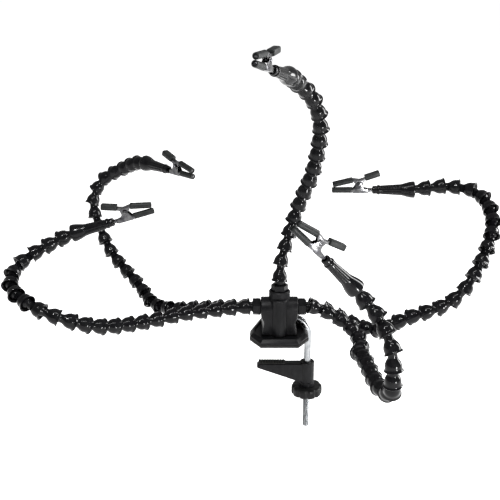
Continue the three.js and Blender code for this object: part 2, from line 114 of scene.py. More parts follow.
NOZZLE_LENGTH = 40
FLUTES, FLUTE_DEPTH, FLUTE_LOW, FLUTE_HIGH = 8, 0.5, 10, 31.2
CLIP_PIVOT_ALONG, CLIP_PIVOT_UP = 14.5, 6.5
GRIP_LENGTH, GRIP_HALF_WIDTH, GRIP_HALF_HEIGHT = 16, 3.9, 3.1
GRIP_SQUARENESS = 0.45
SPRING_TURNS, SPRING_RADIUS, SPRING_HALF_WIDTH, SPRING_WIRE = 4, 1.9, 1.2, 0.35
BOOT_LENGTH, BOOT_START = 21.2, 21.3
UPPER_JAW_START = 10.9
UPPER_JAW_RISE = 5
UPPER_JAW_SLOPE = math.atan2(UPPER_JAW_RISE, BOOT_LENGTH)

ARMS = {
    "top": (17, (0, 0, 1), [
        (0, 0, TOP_BALL_Z), (1, 3, 85), (10, 14, 115), (20, 14, 147), (33, -3, 190),
        (37, -20, 235), (28, -32, 264), (12, -52, 283), (2, -80, 294), (-13, -118, 305),
    ]),
    "left_front": (23, (-1, 0, 0), [
        (-SIDE_BALL_X, 0, 36.2), (-52, -3, 36), (-98, -21, 38), (-141, -43, 38),
        (-180, -72, 47), (-216, -92, 66), (-246, -88, 80), (-265, -64, 89), (-261, -36, 100),
        (-236, -20, 113), (-205, -22, 128), (-166, -24, 140),
    ]),
    "left_rear": (24, (-1, 0, 0), [
        (-SIDE_BALL_X, 18, 30), (-54, 20, 28), (-88, 38, 19), (-120, 50, 13), (-143, 70, 12),
        (-161, 95, 24), (-193, 120, 52), (-210, 138, 81), (-218, 150, 107), (-206, 156, 132),
        (-179, 143, 150), (-157, 118, 163), (-133, 93, 166), (-118, 75, 166),
    ]),
    "right_front": (20, (1, 0, 0), [
        (SIDE_BALL_X, 0, 36.2), (56, -1, 28), (75, -15, 19), (83, -37, 11), (78, -67, 13),
        (81, -82, 17), (88, -135, 16), (95, -162, 23), (94, -179, 45), (91, -179, 78),
        (79, -165, 101), (69, -161, 112), (54, -159, 130), (31, -168, 155),
    ]),
    "right_rear": (24, (1, 0, 0), [
        (SIDE_BALL_X, 18, 30), (53, 19, 25), (72, 14, 16), (90, 2, 12), (108, -15, 18),
        (128, -34, 38), (166, -53, 63), (187, -55, 89), (209, -30, 124), (214, -4, 144),
        (203, 24, 157), (174, 39, 158), (142, 38, 155), (102, 37, 155),
    ]),
}

# ---- camera and lights, in metres ---------------------------------------------------------
CAMERA_TARGET = (-0.0312, 0, 0.1008)
CAMERA_DISTANCE = 0.95
CAMERA_ELEVATION = 20  # degrees
CAMERA_LENS, CAMERA_SENSOR = 65.87, 36  # millimetres

LIGHTS = [  # name, place, target, width, height, power
    ("key", (-0.45, -0.9, 1.3), (0, 0, 0.1), 0.14, 0.14, 16),
    ("strip", (1.3, 0.3, 0.5), (0, 0, 0.1), 0.35, 1.0, 34),
    ("overhead", (0.1, -0.45, 1.5), (0, 0, 0.1), 0.9, 0.08, 9),
    ("low", (0.65, -1.04, -0.01), (0, 0, -0.03), 0.12, 0.2, 14),
]
WHITE = (1, 1, 1, 1)
SKY_STRENGTH, FLOOR_GLOW = 0.42, 0.62
FLOOR_SIZE, FLOOR_GAP = 40, 0.006  # the gap is between the floor and the rod's end


# ---- materials ----------------------------------------------------------------------------
def new_material(name):
    material = bpy.data.materials.new(name)
    material.use_nodes = True
    nodes, links = material.node_tree.nodes, material.node_tree.links
    shader = nodes["Principled BSDF"]
    place = nodes.new("ShaderNodeTexCoord").outputs["Object"]
    return material, nodes, links, shader, place


def noise(nodes, links, place, scale, detail=4, stretch=(1, 1, 1)):
    """A noise pattern's value, at a scale per metre."""
    mapping = nodes.new("ShaderNodeMapping")
    mapping.inputs["Scale"].default_value = stretch
    links.new(place, mapping.inputs["Vector"])
    texture = nodes.new("ShaderNodeTexNoise")
    texture.inputs["Scale"].default_value = scale
    texture.inputs["Detail"].default_value = detail
    links.new(mapping.outputs["Vector"], texture.inputs["Vector"])
    return texture.outputs["Fac"]


def spread(nodes, links, value, low, high):
    """A noise value's middle range turned into low to high."""
    fit = nodes.new("ShaderNodeMapRange")
    fit.inputs["From Min"].default_value = 0.3
    fit.inputs["From Max"].default_value = 0.7
    fit.inputs["To Min"].default_value = low
    fit.inputs["To Max"].default_value = high
    links.new(value, fit.inputs["Value"])
    return fit.outputs["Result"]


def tint(nodes, links, value, dark, pale):
    ramp = nodes.new("ShaderNodeValToRGB")
    ramp.color_ramp.elements[0].position = 0.35
    ramp.color_ramp.elements[0].color = (*dark, 1)
    ramp.color_ramp.elements[1].position = 0.7
    ramp.color_ramp.elements[1].color = (*pale, 1)
    links.new(value, ramp.inputs["Fac"])
    return ramp.outputs["Color"]


def bumps(nodes, links, layers, shader):
    """Height layers of (value, depth in metres, strength), one on the other."""
    normal = None
    for value, depth, strength in layers:
        bump = nodes.new("ShaderNodeBump")
        bump.inputs["Strength"].default_value = strength
        bump.inputs["Distance"].default_value = depth
        links.new(value, bump.inputs["Height"])
        if normal:
            links.new(normal, bump.inputs["Normal"])
        normal = bump.outputs["Normal"]
    links.new(normal, shader.inputs["Normal"])


def plastic(name, dark, pale, rough, grain, specular=0.4):
    """Moulded plastic: flow marks in the gloss, fine grain, a few soft scuffs."""
    material, nodes, links, shader, place = new_material(name)
    flow = noise(nodes, links, place, 60, 3)
    fine = noise(nodes, links, place, 2600, 2)
    scuffs = noise(nodes, links, place, 260, 6, (1, 1, 0.25))
    links.new(tint(nodes, links, scuffs, dark, pale), shader.inputs["Base Color"])
    links.new(spread(nodes, links, flow, *rough), shader.inputs["Roughness"])
    shader.inputs["Specular IOR Level"].default_value = specular
    bumps(nodes, links, [(flow, 0.0002, 0.06), (fine, 0.00002, grain)], shader)
    return material


def rubber(name, dark, pale, rough):
    """Matte rubber: pebbled skin with dusty patches."""
    material, nodes, links, shader, place = new_material(name)
    dust = noise(nodes, links, place, 180, 5)
    pebbles = noise(nodes, links, place, 1800, 2)
    links.new(tint(nodes, links, dust, dark, pale), shader.inputs["Base Color"])
    links.new(spread(nodes, links, dust, *rough), shader.inputs["Roughness"])
    shader.inputs["Specular IOR Level"].default_value = 0.16
    bumps(nodes, links, [(pebbles, 0.00005, 0.5)], shader)
    return material


def plated(name, dark, pale, rough, stretch):
    """Plated steel: cloudy plating over drawn lines."""
    material, nodes, links, shader, place = new_material(name)
    clouds = noise(nodes, links, place, 220, 5)
    drawn = noise(nodes, links, place, 1500, 3, stretch)
    links.new(tint(nodes, links, clouds, dark, pale), shader.inputs["Base Color"])
    links.new(spread(nodes, links, drawn, *rough), shader.inputs["Roughness"])
    shader.inputs["Metallic"].default_value = 1
    bumps(nodes, links, [(drawn, 0.00002, 0.3)], shader)
    return material


LOOKS = {
    "hub_plastic": plastic("hub_plastic", (0.003, 0.003, 0.0035), (0.007, 0.007, 0.0075),
                           (0.3, 0.44), 0.5, 0.1),
    "jaw_plastic": plastic("jaw_plastic", (0.003, 0.003, 0.0035), (0.008, 0.008, 0.0085),
                           (0.32, 0.46), 0.6, 0.1),
    "knob_plastic": plastic("knob_plastic", (0.003, 0.003, 0.003), (0.007, 0.007, 0.007),
                            (0.3, 0.44), 0.5, 0.1),
    "connector_plastic": plastic("connector_plastic", (0.002, 0.002, 0.0025),
                                 (0.006, 0.006, 0.0065), (0.2, 0.32), 0.25, 0.1),
    "arm_plastic": plastic("arm_plastic", (0.0015, 0.0015, 0.002), (0.005, 0.005, 0.0055),
                           (0.09, 0.16), 0.08, 0.14),
    "pad_rubber": rubber("pad_rubber", (0.005, 0.005, 0.005), (0.014, 0.014, 0.013),
                         (0.65, 0.85)),
    "clip_rubber": rubber("clip_rubber", (0.005, 0.006, 0.006), (0.013, 0.014, 0.014),
                          (0.4, 0.55)),
    "rod_steel": plated("rod_steel", (0.2, 0.21, 0.22), (0.31, 0.315, 0.32), (0.2, 0.34),
                        (1, 1, 0.1)),
    "hardware_steel": plated("hardware_steel", (0.24, 0.24, 0.25), (0.36, 0.36, 0.36),
                             (0.24, 0.4), (1, 1, 1)),
    "clip_steel": plated("clip_steel", (0.045, 0.045, 0.05), (0.12, 0.12, 0.12), (0.16, 0.3),
                         (1, 0.3, 1)),
}


# ---- shapes: (points, faces) in millimetres -----------------------------------------------
def turned(profile, sides, ring=False):
    """A turned shape about Z from (radius, height) pairs, outside up. A ring closes on itself."""
    angles = np.arange(sides) * 2 * math.pi / sides
    rows = [np.column_stack([r * np.cos(angles), r * np.sin(angles), np.full(sides, z)])
            for r, z in profile]
    faces = []
    last = len(profile) if ring else len(profile) - 1
    for row in range(last):
        low, high = row * sides, (row + 1) % len(profile) * sides
        for k in range(sides):
            turn = (k + 1) % sides
            faces.append((low + k, low + turn, high + turn, high + k))
    if not ring:
        faces.append(tuple(reversed(range(sides))))
        faces.append(tuple(range((len(profile) - 1) * sides, len(profile) * sides)))
    return np.vstack(rows), faces


def layered(outlines):
    """A shape whose level outlines, lowest first, are lists of (x, y, z) of one length."""
    sides = len(outlines[0])
    faces = []
    for row in range(len(outlines) - 1):
        low, high = row * sides, (row + 1) * sides
        for k in range(sides):
            turn = (k + 1) % sides
            faces.append((low + k, low + turn, high + turn, high + k))
    faces.append(tuple(reversed(range(sides))))
    faces.append(tuple(range((len(outlines) - 1) * sides, len(outlines) * sides)))
    return np.array(outlines, float).reshape(-1, 3), faces


def prism(outline, low, high):
    return layered([[(x, y, z) for x, y in outline] for z in (low, high)])


def block(x0, x1, y0, y1, z0, z1):
    return prism([(x0, y0), (x1, y0), (x1, y1), (x0, y1)], z0, z1)


def moved(shape, matrix):
    points, faces = shape
    m = np.array(matrix)
    return points @ m[:3, :3].T + m[:3, 3], faces


def joined(shapes):
    points, faces, start = [], [], 0
    for own_points, own_faces in shapes:
        points.append(own_points)
        faces += [tuple(start + i for i in face) for face in own_faces]
        start += len(own_points)
    return np.vstack(points), faces


def tube(path, radius, sides):
    """A round bar along a list of Vectors."""
    rows = []
    side = None
    for i, point in enumerate(path):
        along = (path[min(i + 1, len(path) - 1)] - path[max(i - 1, 0)]).normalized()
        if side is None:
            side = along.orthogonal().normalized()
        side = (side - along * side.dot(along)).normalized()
        up = along.cross(side)
        angles = [2 * math.pi * k / sides for k in range(sides)]
        rows.append([tuple(point + radius * (side * math.cos(a) + up * math.sin(a)))
                     for a in angles])
    return layered(rows)


def arc(radius, centre, low, high, steps):
    """(radius, height) pairs on a circle about (0, centre), between two latitudes in degrees."""
    angles = [math.radians(low + (high - low) * k / steps) for k in range(steps + 1)]
    return [(radius * math.cos(a), centre + radius * math.sin(a)) for a in angles]


def raise_object(name, shape):
    points, faces = shape
    mesh = bpy.data.meshes.new(name)
    mesh.from_pydata((points * MM).tolist(), [], faces)
    mesh.update()
    made = bpy.data.objects.new(name, mesh)
    bpy.context.scene.collection.objects.link(made)
    return made


def add_bevel(made, width, segments=3, angle=30):
    bevel = made.modifiers.new("edges", "BEVEL")
    bevel.width = width * MM
    bevel.segments = segments
    bevel.limit_method = "ANGLE"
    bevel.angle_limit = math.radians(angle)
    bevel.miter_outer = "MITER_ARC"


def settle(made):
    """Applies the modifiers, as one plain mesh."""
    graph = bpy.context.evaluated_depsgraph_get()
    mesh = bpy.data.meshes.new_from_object(made.evaluated_get(graph))
    made.modifiers.clear()
    made.data = mesh


def fused(name, bodies, cuts=()):
    """One object from overlapping (shape, edge width) pairs, less the cut shapes."""
    made = None
    for n, (shape, width) in enumerate([*bodies, *[(cut, 0) for cut in cuts]]):
        part = raise_object(name if made is None else f"{name}_{n}", shape)
        if width:
            add_bevel(part, width)
            settle(part)
        if made is None:
            made = part
            continue
        merge = made.modifiers.new("merge", "BOOLEAN")
        merge.solver = "MANIFOLD"
        merge.operation = "UNION" if n < len(bodies) else "DIFFERENCE"
        merge.object = part
        settle(made)
        bpy.data.objects.remove(part)
    return made


def dress(made, slot, body, nodes=(), sharp=32):
    """Gives an object its material, smooth faces between sharp edges and its body, and hides the CAD
    nodes it stands for.
    """
    made.data.materials.clear()
    made.data.materials.append(LOOKS[slot])
    made.data.shade_smooth()
    made.data.set_sharp_from_angle(angle=math.radians(sharp))
    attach(made, body)
    if nodes:
        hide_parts(*nodes)
    return made


def piece(name, shape, slot, body, nodes=(), bevel=0.0, sharp=32):
    made = raise_object(name, shape)
    if bevel:
        add_bevel(made, bevel, 2)
        settle(made)
    return dress(made, slot, body, nodes, sharp)


def frame_along(point, direction):
    turn = Vector((0, 0, 1)).rotation_difference(direction).to_matrix().to_4x4()
    return Matrix.Translation(point) @ turn


ALONG_X = Matrix.Rotation(math.pi / 2, 4, "Y")
AT_ROD = Matrix.Translation((ROD_X, ROD_Y, 0))


# ---- hub ----------------------------------------------------------------------------------
def mirrored(half):
    """A closed outline from its right half."""
    return [*half, *[(-x, other) for x, other in reversed(half)]]


def slab(outline, y0, y1):
    """A shape from an (x, z) outline, running from y0 to y1."""
    turn = Matrix(((1, 0, 0, 0), (0, 0, -1, 0), (0, 1, 0, 0), (0, 0, 0, 1)))
    return moved(prism(outline, -y1, -y0), turn)


def barrel(radius, x0, x1, y, z, sides=48):
    return moved(turned([(radius, x0), (radius, x1)], sides),
                 Matrix.Translation((0, y, z)) @ ALONG_X)


def build_hub():
    column = moved(turned([(COLUMN_RADIUS, HUB_FLOOR), (COLUMN_RADIUS, HUB_TOP - 1),
                           (COLUMN_RADIUS - 1, HUB_TOP)], 48),
                   Matrix.Translation((0, COLUMN_Y, 0)))
    collar = turned([(COLLAR_RADIUS, COLLAR_ROOT), (COLLAR_RADIUS, COLLAR_TOP - COLLAR_EDGE),
                     (COLLAR_RADIUS - COLLAR_EDGE, COLLAR_TOP)], 64)
    bodies = [(slab(mirrored(HUB_SIDE), HUB_FRONT, HUB_REAR), 1.4), (column, 0), (collar, 0)]
    seat = COLLAR_TOP - SEAT_DEPTH
    cuts = [turned([(PORT_RADIUS, seat - PORT_DEPTH), (PORT_RADIUS, seat), (SEAT_RADIUS, seat),
                    (SEAT_RADIUS + 0.2, COLLAR_TOP - 0.6), (SEAT_RADIUS + 0.9, COLLAR_TOP + 1)], 64)]
    for y, z, radius in (FRONT_PORT, REAR_PORT):
        bodies.append((barrel(radius, -HUB_HALF_WIDTH, HUB_HALF_WIDTH, y, z), 0.9))
        inner, outer = HUB_HALF_WIDTH - PORT_DEPTH, HUB_HALF_WIDTH + 1
        cuts.append(barrel(PORT_RADIUS, inner, outer, y, z))
        cuts.append(barrel(PORT_RADIUS, -outer, -inner, y, z))
    cuts.append(tube(rod_path(2), ROD_BORE, 32))
    for x in (-HUB_HALF_WIDTH, HUB_HALF_WIDTH):
        dent = turned([(MARK_RADIUS, -MARK_HALF_DEPTH), (MARK_RADIUS, MARK_HALF_DEPTH)], 24)
        cuts.append(moved(dent, Matrix.Translation((x, MARK_Y, MARK_Z)) @ ALONG_X))
    dress(fused("hub_casting", bodies, cuts), "hub_plastic", "hub", ["hub_body"])


def foot_outline(size, z):
    return [(x * size, y * size, z) for x, y in mirrored(FOOT_SIDE)]


def build_foot():
    groove = tube(rod_path(2), ROD_BORE + FOOT_CLEARANCE, 32)
    shape = layered([foot_outline(size, z) for size, z in FOOT_STEPS])
    foot = fused("foot_casting", [(shape, 0)], [groove])
    add_bevel(foot, 0.35, 2, 20)
    settle(foot)
    dress(foot, "hub_plastic", "hub", ["foot_plate"])
    shape = layered([foot_outline(size, z) for size, z in MAT_STEPS])
    mat = fused("foot_mat", [(shape, 0)], [groove])
    dress(mat, "pad_rubber", "hub", ["foot_pad"])


# ---- rod, set screw -----------------------------------------------------------------------
def rod_path(extra=0):
    """The rod's level end and bend, as points. The extra lengthens the level end."""
    centre = Vector((ROD_X - ROD_BEND, ROD_Y, ROD_HEIGHT - ROD_BEND))
    path = [Vector((ROD_START_X - extra, ROD_Y, ROD_HEIGHT))]
    steps = 24
    for k in range(steps + 1):
        angle = math.pi / 2 * (1 - k / steps)
        path.append(centre + ROD_BEND * Vector((math.cos(angle), 0, math.sin(angle))))
    path.append(path[-1] - Vector((0, 0, 2)))
    return path


def thread():
    """The rod's straight length: plain, then a helical thread down to a pointed end."""
    sides, rows_per_turn = 32, 8
    outlines = []
    rise = THREAD_PITCH / rows_per_turn
    z = ROD_END
    while z < THREAD_TOP + 2:
        start = min(1, (z - ROD_END) / POINT_LENGTH)
        run_out = min(1, max(0, (THREAD_TOP - z) / THREAD_RUN_OUT))
        row = []
        for k in range(sides):
            phase = (z / THREAD_PITCH - k / sides) % 1
            cut = THREAD_DEPTH * abs(2 * phase - 1) * run_out
            radius = min(ROD_RADIUS - cut, ROD_RADIUS - POINT_INSET * (1 - start))
            angle = 2 * math.pi * k / sides
            row.append((ROD_X + radius * math.cos(angle), ROD_Y + radius * math.sin(angle), z))
        outlines.append(row)
        z += rise
    return layered(outlines)


def build_rod():
    bend = tube(rod_path(), ROD_RADIUS, 32)
    high = ROD_HEIGHT - ROD_BEND - 1
    plain = moved(turned([(ROD_RADIUS, THREAD_TOP), (ROD_RADIUS, high)], 32), AT_ROD)
    piece("rod_bar", joined([bend, plain, thread()]), "rod_steel", "hub", ["clamp_rod"])
    head = HUB_REAR - ROD_Y + 0.3
    profile = [(1.9, ROD_RADIUS + 0.3), (1.9, head), (3.3, head), (3.4, head + 0.3),
               (3.4, head + 1.8), (3, head + 2.2), (1.5, head + 2.2), (1.5, head + 0.8)]
    turn = Matrix.Translation((0, ROD_Y, ROD_HEIGHT)) @ Matrix.Rotation(-math.pi / 2, 4, "X")
    piece("set_screw_body", moved(turned(profile, 24), turn), "hardware_steel", "hub",
          ["rod_set_screw"])


# ---- jaw, collar, knob --------------------------------------------------------------------
def build_jaw():
    wedge = [(JAW_TIP_X + 3.6, JAW_TOP), (JAW_TIP_X + 0.4, JAW_TOP - 2),
             (JAW_TIP_X, JAW_TOP - JAW_TIP_THICKNESS + 0.4),
             (JAW_TIP_X + 0.8, JAW_TOP - JAW_TIP_THICKNESS - 0.8), (JAW_HEEL_X, JAW_HEEL_Z),
             (ROD_X, JAW_HEEL_Z), (ROD_X, JAW_TOP)]
    arm = slab(wedge, ROD_Y - JAW_HALF_DEPTH, ROD_Y + JAW_HALF_DEPTH)
    top = JAW_TOP + 1.9
    sleeve = turned([(JAW_SLEEVE_RADIUS - 0.5, JAW_BOTTOM), (JAW_SLEEVE_RADIUS, JAW_BOTTOM + 0.5),
                     (JAW_SLEEVE_RADIUS, top - 0.5), (JAW_SLEEVE_RADIUS - 0.5, top)], 64)
    bore = turned([(ROD_BORE, JAW_BOTTOM - 2), (ROD_BORE, top + 2)], 32)
    jaw = fused("jaw_casting", [(arm, 0.9), (moved(sleeve, AT_ROD), 0)], [moved(bore, AT_ROD)])
    dress(jaw, "jaw_plastic", "jaw", ["clamp_jaw"])

    pad_low = JAW_TOP + 0.3
    y0, y1 = ROD_Y - JAW_PAD_HALF_DEPTH, ROD_Y + JAW_PAD_HALF_DEPTH
    shapes = [block(JAW_PAD_X, JAW_PAD_X + JAW_PAD_LENGTH, y0, y1, pad_low, pad_low + 0.9)]
    for k in range(RIBS):
        x = JAW_PAD_X + 0.6 + k * RIB_STEP
        shapes.append(block(x, x + RIB_WIDTH, y0 + 0.2, y1 - 0.2, pad_low + 0.5, pad_low + 1.6))
    piece("jaw_grip_pad", joined(shapes), "pad_rubber", "jaw", ["jaw_pad"], bevel=0.25)

    top = JAW_BOTTOM - 0.3
    low = top - COLLAR_HEIGHT
    collar = [(ROD_BORE, low), (COLLAR_SIZE - 0.7, low), (COLLAR_SIZE - 0.1, low + 0.5),
              (COLLAR_SIZE, low + 1), (COLLAR_SIZE, low + 2), (COLLAR_SIZE - 1, low + 2.4),
              (COLLAR_SIZE - 1, top - 0.4), (COLLAR_SIZE - 1.4, top), (ROD_BORE, top)]
    piece("thrust_collar", moved(turned(collar, 48, ring=True), AT_ROD), "jaw_plastic", "jaw",
          ["thrust_washer"])


def build_knob():
    low = KNOB_TOP - KNOB_HEIGHT
    steps = [(2.2, low), (0.9, low + 0.4), (0.2, low + 1.4), (0, low + 3), (0, KNOB_TOP - 3),
             (0.2, KNOB_TOP - 1.4), (0.9, KNOB_TOP - 0.4), (2.2, KNOB_TOP)]
    sides = KNOB_LOBES * STEPS_PER_LOBE
    outlines = []
    for inset, z in steps:
        row = []
        for k in range(sides):
            angle = 2 * math.pi * k / sides
            groove = max(0, -math.cos(KNOB_LOBES * angle)) ** GROOVE_SHARPNESS
            radius = KNOB_RADIUS - inset - GROOVE_DEPTH * groove
            row.append((radius * math.cos(angle), radius * math.sin(angle), z))
        outlines.append(row)
    grip = layered(outlines)
    bore = turned([(ROD_BORE, low - 2), (ROD_BORE, KNOB_TOP + 2)], 32)
    nut_low, nut_high = low + 0.5, low + 0.5 + NUT_HEIGHT
    pocket = turned([(NUT_RADIUS + 0.4, low - 1), (NUT_RADIUS + 0.4, nut_high + 0.3)], 6)
    made = fused("knob_grip", [(moved(grip, AT_ROD), 0)],
                 [moved(bore, AT_ROD), moved(pocket, AT_ROD)])
    dress(made, "knob_plastic", "knob", ["knob"])
    nut = [(NUT_RADIUS - 0.8, nut_low), (NUT_RADIUS, nut_low + 0.5),
           (NUT_RADIUS, nut_high - 0.5), (NUT_RADIUS - 0.8, nut_high)]
    made = fused("knob_hex_nut", [(moved(turned(nut, 6), AT_ROD), 0)], [moved(bore, AT_ROD)])
    dress(made, "hardware_steel", "knob", ["knob_nut"], 20)


# ---- arms ---------------------------------------------------------------------------------
def smooth_route(route):
    """Catmull-Rom curve through the route's points, as a list of close points."""
    p = [Vector(point) for point in route]
    ends = [2 * p[0] - p[1], *p, 2 * p[-1] - p[-2]]
    points = []
    for i in range(1, len(ends) - 2):
        for k in range(ROUTE_STEPS):
            t = k / ROUTE_STEPS
            weights = [(-t + 2 * t * t - t ** 3) / 2, (2 - 5 * t * t + 3 * t ** 3) / 2,
                       (t + 4 * t * t - 3 * t ** 3) / 2, (t ** 3 - t * t) / 2]
            points.append(sum((w * q for w, q in zip(weights, ends[i - 1:i + 3])), Vector()))
    return [*points, p[-1]]


def ball_centres(route, links):
    """Ball centres at one pitch along the route, then the nozzle's tip."""
    path = smooth_route(route)
    onward = (path[-1] - path[-2]).normalized() * 4 * LINK_PITCH
    path.append(path[-1] + onward)
    centres = [path[0]]
    index = 0
    for i in range(links + 1):
        reach = LINK_PITCH if i < links else NOZZLE_LENGTH
        while (path[index + 1] - centres[-1]).length < reach:
            index += 1
        near, far = 0.0, 1.0
        for _ in range(30):
            middle = (near + far) / 2
            if (path[index].lerp(path[index + 1], middle) - centres[-1]).length < reach:
                near = middle
            else:
                far = middle
        centres.append(path[index].lerp(path[index + 1], near))
    return centres


SKIRT = [(8.3, -4.35), (8.75, -4.3), (8.9, -4.05), (8.7, -3.6), (8.2, -2.95), (7.85, -2.2),
         (7.7, -1.2), (7.7, 0), (7.65, 1.2)]
SOCKET = [*reversed(arc(SOCKET_RADIUS, 0, SOCKET_LOW, SOCKET_HIGH, 8)), (6.7, -2.6), (7.6, -3.8)]


def link_shape():
    """One link about Z: bell-shaped skirt at its socket end, neck, then its ball."""
    bell = [*SKIRT, (7.4, 2.5), (6.95, 3.7), (6.35, 4.9), (5.65, 6), (5, 7), (4.6, 8),
            (4.4, 9.2), (4.4, 11.6)]
    ball = arc(BALL_RADIUS, LINK_PITCH, BALL_LOW, BALL_HIGH, 9)
    bore = [(LINK_BORE, ball[-1][1]), (LINK_BORE, 6.2)]
    return turned([*bell, *ball, *bore, *SOCKET], LINK_SIDES, ring=True)


def nozzle_shape():
    """Tapered nozzle about Z with shallow flutes, a grip ring and a short plain tip."""
    skirt = [(8.4, -4.25), (8.7, -4.15), (8.85, -3.7), (8.8, -2), (8.4, 0.6), (7.7, 3.4),
             (6.9, 6.1), (6.3, 8.2), (5.95, 9.8)]
    taper = [(5.9 - 1.25 * k / 11, 10.6 + 20.4 * k / 11) for k in range(12)]
    ring = [(4.5, 31.6), (4.5, 32.2), (5.05, 32.5), (5.15, 33), (5.15, 34.4), (4.95, 34.8),
            (4.3, 35), (4.25, 36), (4.2, 39.4), (3.9, 39.9), (3.3, 40), (2.55, 39.6)]
    bore = [(2.45, 30), (LINK_BORE, 26), (LINK_BORE, 6.2)]
    points, faces = turned([*skirt, *taper, *ring, *bore, *SOCKET], 96, ring=True)
    radius = np.hypot(points[:, 0], points[:, 1])
    angle = np.arctan2(points[:, 1], points[:, 0])
    height = points[:, 2]
    fluted = (height > FLUTE_LOW) & (height < FLUTE_HIGH) & (radius > LINK_BORE + 0.5)
    depth = np.where(fluted, FLUTE_DEPTH * np.maximum(0, np.cos(FLUTES * angle)) ** 2, 0)
    points[:, :2] *= ((radius - depth) / radius)[:, None]
    return points, faces


def connector_shape():
    """Hexagon connector about Z: screwed stub, hexagon, flange, neck and ball."""
    stub = [(6.1, HEX_LOW - 9.5), (6.1, HEX_LOW + 1)]
    hexagon = [(HEX_RADIUS - 0.8, HEX_LOW), (HEX_RADIUS, HEX_LOW + 0.5),
               (HEX_RADIUS, HEX_HIGH - 0.5), (HEX_RADIUS - 0.8, HEX_HIGH)]
    flange = [(6.6, HEX_HIGH - 0.5), (6.6, HEX_HIGH), (6.2, HEX_HIGH + 0.2),
              (4.5, HEX_HIGH + 0.5), (4.4, HEX_HIGH + 3)]
    ball = arc(BALL_RADIUS, 0, BALL_LOW, BALL_HIGH, 9)
    dish = [(LINK_BORE, ball[-1][1]), (LINK_BORE, -6)]
    return joined([turned(stub, 32), turned(hexagon, 6),
                   turned([*flange, *ball, *dish], LINK_SIDES)])


# ---- spring clip: X across, Y towards the lever, Z along the nozzle, origin at its tip ------
def clip_frame(tip, along):
    up = Vector((0, 0, 1))
    up = (up - along * up.dot(along)).normalized()
    across = up.cross(along)
    rows = Matrix((across, up, along)).transposed().to_4x4()
    return Matrix.Translation(tip) @ rows


SIDEWAYS = Matrix(((0, 0, -1, 0), (0, 1, 0, 0), (1, 0, 0, 0), (0, 0, 0, 1)))


def sheet(outline, x0, x1):
    """A flat plate from an (along, up) outline, from x0 to x1 across."""
    return moved(prism(outline, -x1, -x0), SIDEWAYS)


def ear(radius, steps=8):
    """The rounded top of a cheek about the pivot, front to back."""
    angles = [math.pi * (0.05 + 0.9 * k / steps) for k in range(steps + 1)]
    return [(CLIP_PIVOT_ALONG + radius * math.cos(a), CLIP_PIVOT_UP + radius * math.sin(a))
            for a in angles]


def clip_base_shape():
    """Lower half: rolled stem, channel with two ears, and the trough inside the boot."""
    cheek = [(5, -2.5), (20.5, -2.5), (22.5, -1.4), (22.5, 1.2), (20, 2.2), *ear(2.7),
             (9.5, 2.4), (5, 1.5)]
    shapes = [sheet(cheek, 2.7, 3.3), sheet(cheek, -3.3, -2.7)]
    shapes.append(block(-3.3, 3.3, -2.65, -2.05, 5, 21))
    shapes.append(block(-1.5, 1.5, -1.3, 1.1, 20, BOOT_START + BOOT_LENGTH - 0.6))
    shapes.append(turned([(1.3, -10), (2, -10), (2, 4), (2.3, 6.5), (1.9, 7), (1.3, 5)], 24,
                         ring=True))
    shapes.append(block(-2.2, 2.2, -2.3, -1.2, 3.4, 7))
    return joined(shapes)


UPPER_JAW_PLACE = (Matrix.Translation((0, UPPER_JAW_START, BOOT_START))
                   @ Matrix.Rotation(UPPER_JAW_SLOPE, 4, "X"))


def clip_lever_shape():
    """Upper half: narrower channel, the jaw inside its boot and the flat handle."""
    cheek = [(10.6, 4.4), (16, 4.2), (20.6, 9.2), (22, 10.2), (22, 12), (20.8, 12.2),
             (14, 11.2), (4, 14.2), (3.2, 12.6), (10, 9.2)]
    top = [(22, 11.7), (22, 12.3), (20.6, 12.6), (14, 11.7), (4, 14.9), (-4, 17.7),
           (-4.2, 17.1), (4, 14.2), (14, 11.1), (20.6, 12)]
    blade = block(-1.5, 1.5, -1.1, 1.2, -1.5, BOOT_LENGTH - 0.6)
    return joined([sheet(cheek, 1.6, 2.2), sheet(cheek, -2.2, -1.6), sheet(top, -2.5, 2.5),
                   moved(blade, UPPER_JAW_PLACE)])


def squared(value):
    """A sine or cosine pushed outwards, which turns a circle into a rounded square."""
    return math.copysign(abs(value) ** GRIP_SQUARENESS, value)


def grip_shape():
    """Soft sleeve over the handle: a rounded box about its own Z, run back up the handle."""
    rows = []
    sides = 32
    rims = [(0.82, 0), (0.95, 0.25), (1, 0.8), (1, GRIP_LENGTH - 1.2), (0.95, GRIP_LENGTH - 0.4),
            (0.8, GRIP_LENGTH)]
    for size, z in rims:
        row = []
        for k in range(sides):
            angle = 2 * math.pi * k / sides
            x, y = squared(math.cos(angle)), squared(math.sin(angle))
            row.append((x * GRIP_HALF_WIDTH * size, y * GRIP_HALF_HEIGHT * size, z))
        rows.append(row)
    start, end = Vector((0, 13.2, 8.4)), Vector((0, 18.4, -6.8))
    return moved(layered(rows), frame_along(start, (end - start).normalized()))


def spring_shape():
    """Torsion spring about the pin, with a short leg on each half of the clip."""
    steps, half = 20, SPRING_HALF_WIDTH
    path = [Vector((-half, CLIP_PIVOT_UP - 4.2, CLIP_PIVOT_ALONG - 6))]
    for k in range(SPRING_TURNS * steps + 1):
        angle = math.pi + 2 * math.pi * k / steps
        x = -half + 2 * half * k / (SPRING_TURNS * steps)
        path.append(Vector((x, CLIP_PIVOT_UP + SPRING_RADIUS * math.sin(angle),
                            CLIP_PIVOT_ALONG + SPRING_RADIUS * math.cos(angle))))
    path.append(Vector((half, CLIP_PIVOT_UP + 2.8, CLIP_PIVOT_ALONG - 3.6)))
    return tube(path, SPRING_WIRE, 10)


